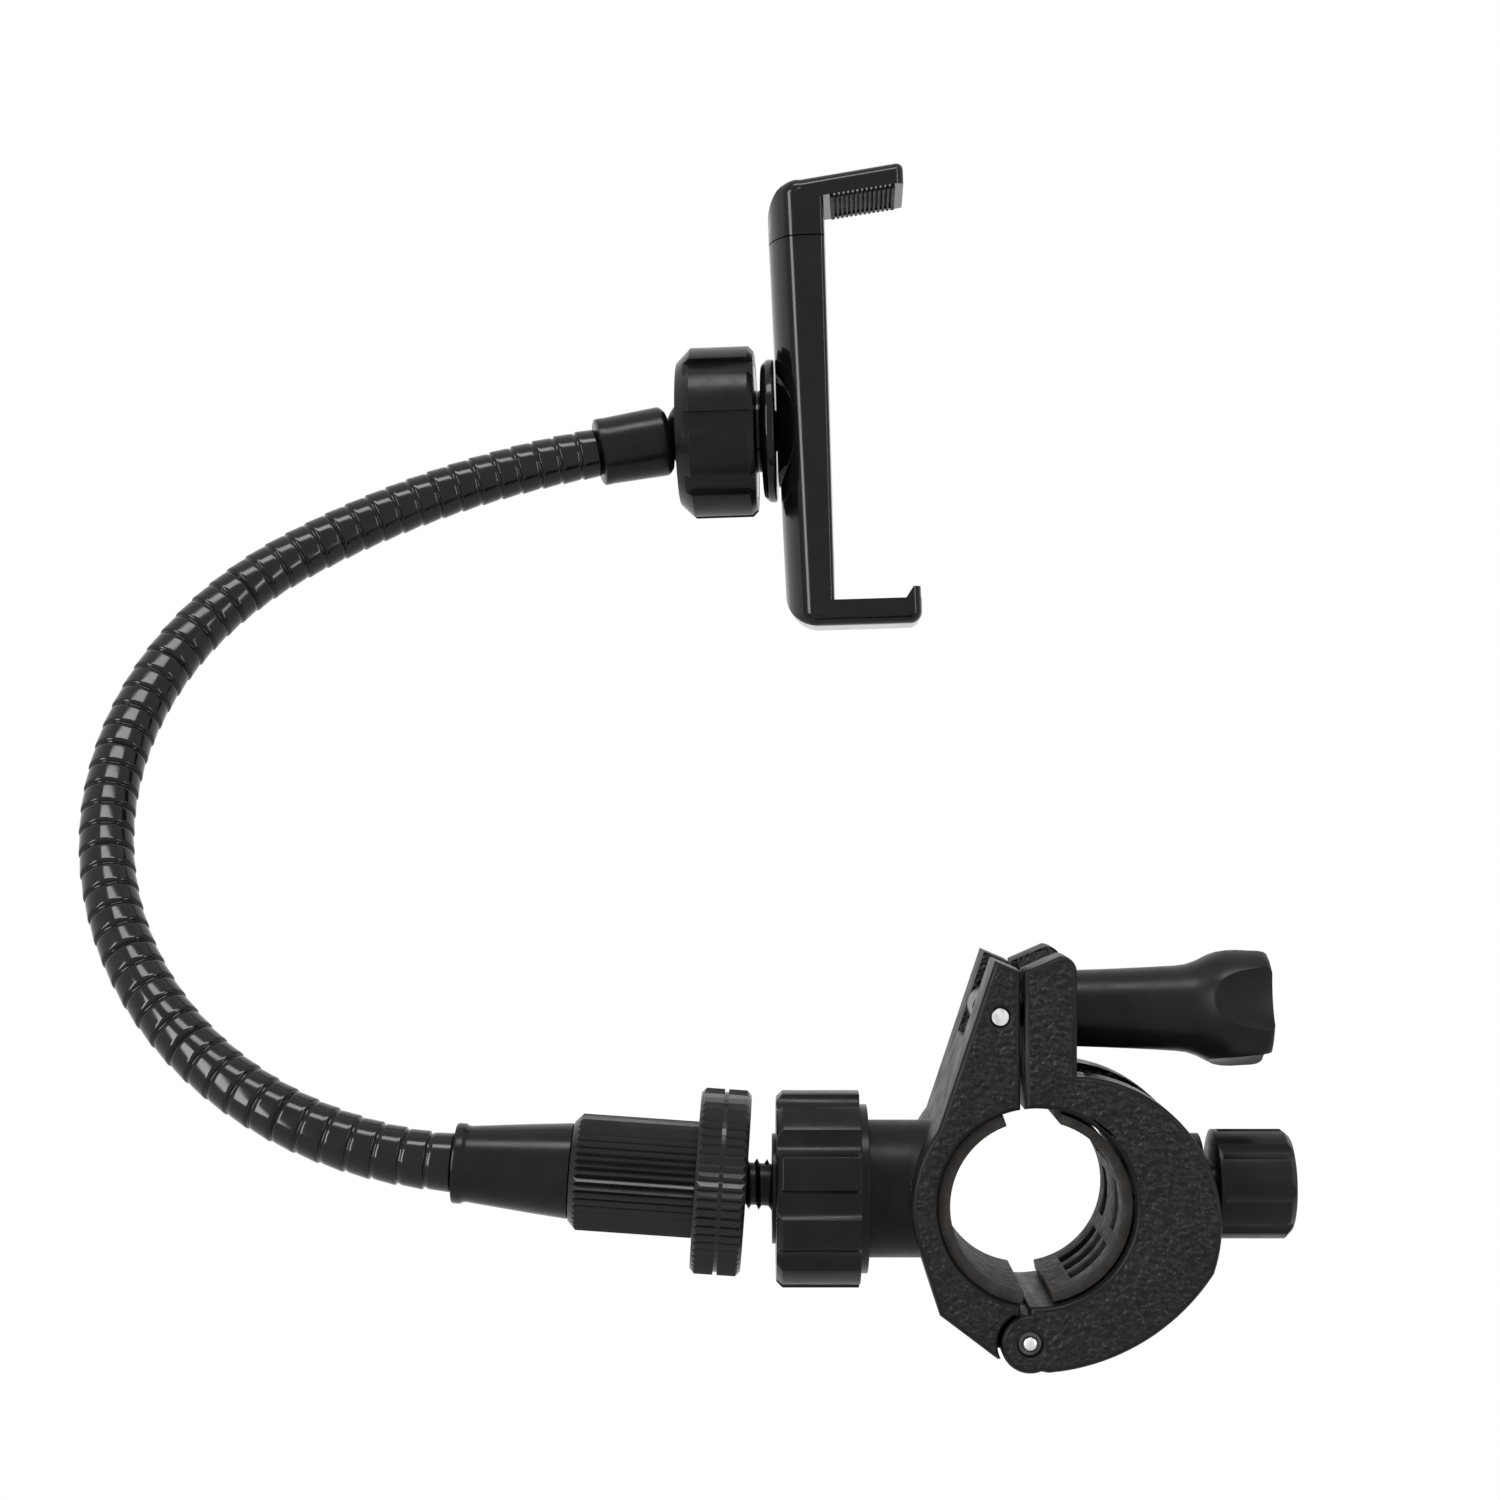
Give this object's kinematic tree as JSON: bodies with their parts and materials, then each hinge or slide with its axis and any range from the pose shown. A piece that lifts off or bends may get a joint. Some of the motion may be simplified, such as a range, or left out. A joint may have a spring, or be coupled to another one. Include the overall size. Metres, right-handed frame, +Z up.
{
  "type": "gooseneck phone holder",
  "caption": "Handlebar phone holder: hinged bar clamp with swing bolt and thumb knob, ball head, ribbed gooseneck arm and a spring-loaded phone clip",
  "frame": {"origin": "Centre of the handlebar bore, halfway through the clamp's depth.", "axes": "+Y along the handlebar, away from the side the picture shows; +Z up; +X towards the thumb knob."},
  "size_m": [0.1588, 0.0939, 0.1636],
  "materials": {
    "grained_black": "matte",
    "liner_grey": "matte",
    "bright_pin": "polished",
    "plated_steel": "satin",
    "knob_black": "satin",
    "post_black": "satin",
    "seat_nylon": "matte",
    "black_steel": "satin",
    "knurled_black": "gloss",
    "neck_black": "gloss",
    "ferrule_black": "gloss",
    "clip_black": "gloss",
    "pad_rubber": "matte"
  },
  "bodies": {
    "clamp": {"fixed_jaw": "grained_black", "left_liner": "liner_grey", "hinge_pin": "bright_pin", "bolt_pivot_pin": "bright_pin", "socket_post": "post_black", "post_screw": "plated_steel"},
    "swing_jaw": {"swing_jaw": "grained_black"},
    "pad": {"right_liner": "liner_grey"},
    "side_knob": {"side_knob": "knob_black", "side_screw": "plated_steel"},
    "bolt": {"swing_bolt": "plated_steel"},
    "washer": {"knob_washer": "plated_steel"},
    "thumb_knob": {"thumb_knob": "knob_black"},
    "ball_seat": {"ball_seat": "seat_nylon"},
    "stud": {"ball_stud": "black_steel"},
    "ball_lock_nut": {"ball_lock_nut": "knob_black"},
    "lock_ring": {"lock_ring": "knurled_black"},
    "arm_base": {"knurled_barrel": "knurled_black", "lower_ferrule": "ferrule_black", "neck_segment_01": "neck_black"},
    "neck_02": {"neck_segment_02": "neck_black"},
    "neck_03": {"neck_segment_03": "neck_black"},
    "neck_04": {"neck_segment_04": "neck_black"},
    "neck_05": {"neck_segment_05": "neck_black"},
    "neck_06": {"neck_segment_06": "neck_black"},
    "neck_07": {"neck_segment_07": "neck_black"},
    "neck_08": {"neck_segment_08": "neck_black"},
    "neck_09": {"neck_segment_09": "neck_black"},
    "neck_10": {"neck_segment_10": "neck_black"},
    "arm_tip": {"neck_segment_11": "neck_black", "upper_boot": "ferrule_black", "clip_ball": "plated_steel"},
    "clip_ball_seat": {"clip_ball_seat": "seat_nylon"},
    "clip_socket": {"clip_socket": "clip_black"},
    "top_nut": {"top_nut": "knob_black"},
    "clip": {"clip_body": "clip_black", "clip_cover": "clip_black", "cover_screws": "plated_steel", "clip_spring": "plated_steel"},
    "slide_jaw": {"slide_jaw": "clip_black", "jaw_pad": "pad_rubber"}
  },
  "joints": [
    {"name": "bolt_swing", "type": "hinge", "parent": "clamp", "child": "bolt", "pos_m": [-0.0045, 0, 0.02325], "axis": [0, -1, 0], "range_deg": [0, 60]},
    {"name": "jaw_open", "type": "hinge", "parent": "clamp", "child": "swing_jaw", "pos_m": [-0.0008, 0, -0.0166], "axis": [0, 1, 0], "range_deg": [0, 30]},
    {"name": "knob_travel", "type": "slide", "parent": "bolt", "child": "washer", "axis": [1, 0, 0], "range_m": [0, 0.02261]},
    {"name": "thumb_knob_turn", "type": "hinge", "parent": "washer", "child": "thumb_knob", "pos_m": [0.0034, 0, 0.02325], "axis": [1, 0, 0], "continuous": true},
    {"name": "pad_press", "type": "slide", "parent": "swing_jaw", "child": "pad", "axis": [-1, 0, 0], "range_m": [0, 0.0012]},
    {"name": "side_knob_turn", "type": "hinge", "parent": "pad", "child": "side_knob", "pos_m": [0.0229, 0, 0.0012], "axis": [-1, 0, 0], "range_deg": [0, 432.5]},
    {"name": "ball_pitch", "type": "hinge", "parent": "clamp", "child": "ball_seat", "pos_m": [-0.02635, 0, 0.0006], "axis": [0, 1, 0], "range_deg": [-10, 10]},
    {"name": "ball_yaw", "type": "hinge", "parent": "ball_seat", "child": "stud", "pos_m": [-0.02635, 0, 0.0006], "axis": [0, 0, 1], "range_deg": [-10, 10]},
    {"name": "ball_lock_turn", "type": "hinge", "parent": "clamp", "child": "ball_lock_nut", "pos_m": [-0.02635, 0, 0.0006], "axis": [1, 0, 0], "continuous": true},
    {"name": "lock_ring_turn", "type": "hinge", "parent": "stud", "child": "lock_ring", "pos_m": [-0.03543, 0, 0.00123], "axis": [0.9976, 0, -0.0698], "continuous": true},
    {"name": "arm_turn", "type": "hinge", "parent": "stud", "child": "arm_base", "pos_m": [-0.04181, 0, 0.00168], "axis": [0.9976, 0, -0.0698], "continuous": true},
    {"name": "neck_bend_01", "type": "hinge", "parent": "arm_base", "child": "neck_02", "pos_m": [-0.08788, 0.00137, 0.00694], "axis": [-0.039, 0.829, -0.5578], "range_deg": [-15, 4]},
    {"name": "neck_sway_02", "type": "hinge", "parent": "neck_02", "child": "neck_03", "pos_m": [-0.10198, 0.00537, 0.01386], "axis": [0.6175, 0.4589, 0.6388], "range_deg": [-12, 12]},
    {"name": "neck_bend_03", "type": "hinge", "parent": "neck_03", "child": "neck_04", "pos_m": [-0.11305, 0.01161, 0.02392], "axis": [-0.039, 0.829, -0.5578], "range_deg": [-15, 4]},
    {"name": "neck_bend_04", "type": "hinge", "parent": "neck_04", "child": "neck_05", "pos_m": [-0.12007, 0.01954, 0.03619], "axis": [-0.039, 0.829, -0.5578], "range_deg": [-15, 4]},
    {"name": "neck_sway_05", "type": "hinge", "parent": "neck_05", "child": "neck_06", "pos_m": [-0.1224, 0.02841, 0.04955], "axis": [0.9992, 0.0281, -0.0281], "range_deg": [-12, 12]},
    {"name": "neck_bend_06", "type": "hinge", "parent": "neck_06", "child": "neck_07", "pos_m": [-0.11983, 0.03743, 0.06277], "axis": [-0.039, 0.829, -0.5578], "range_deg": [-15, 4]},
    {"name": "neck_bend_07", "type": "hinge", "parent": "neck_07", "child": "neck_08", "pos_m": [-0.11258, 0.04576, 0.07463], "axis": [-0.039, 0.829, -0.5578], "range_deg": [-15, 4]},
    {"name": "neck_sway_08", "type": "hinge", "parent": "neck_08", "child": "neck_09", "pos_m": [-0.10133, 0.05263, 0.08406], "axis": [0.6054, -0.4245, -0.6733], "range_deg": [-12, 12]},
    {"name": "neck_bend_09", "type": "hinge", "parent": "neck_09", "child": "neck_10", "pos_m": [-0.08779, 0.05809, 0.09122], "axis": [-0.039, 0.829, -0.5578], "range_deg": [-15, 4]},
    {"name": "neck_bend_10", "type": "hinge", "parent": "neck_10", "child": "arm_tip", "pos_m": [-0.0732, 0.06255, 0.09684], "axis": [-0.039, 0.829, -0.5578], "range_deg": [-15, 4]},
    {"name": "clip_pitch", "type": "hinge", "parent": "arm_tip", "child": "clip_ball_seat", "pos_m": [-0.04139, 0.06893, 0.10409], "axis": [0.0436, 0.999, 0], "range_deg": [-8, 8]},
    {"name": "clip_yaw", "type": "hinge", "parent": "clip_ball_seat", "child": "clip_socket", "pos_m": [-0.04139, 0.06893, 0.10409], "axis": [-0.0279, 0.0012, 0.9996], "range_deg": [-8, 8]},
    {"name": "top_nut_turn", "type": "hinge", "parent": "clip_socket", "child": "top_nut", "pos_m": [-0.04139, 0.06893, 0.10409], "axis": [0.9987, -0.0436, 0.0279], "continuous": true},
    {"name": "clip_roll", "type": "hinge", "parent": "clip_socket", "child": "clip", "pos_m": [-0.04139, 0.06893, 0.10409], "axis": [0.9987, -0.0436, 0.0279], "continuous": true},
    {"name": "jaw_slide", "type": "slide", "parent": "clip", "child": "slide_jaw", "axis": [-0.0279, 0.0012, 0.9996], "range_m": [0, 0.028], "stiffness_N_per_m": 200, "springref_m": -0.02, "deforming": ["clip_spring"]}
  ],
  "couplings": [
    {"joint": "jaw_open", "follows": "bolt_swing", "ratio": 0.5},
    {"joint": "knob_travel", "follows": "bolt_swing", "m_per_rad": 0.0215},
    {"joint": "side_knob_turn", "follows": "pad_press", "rad_per_m": 6283.2}
  ]
}
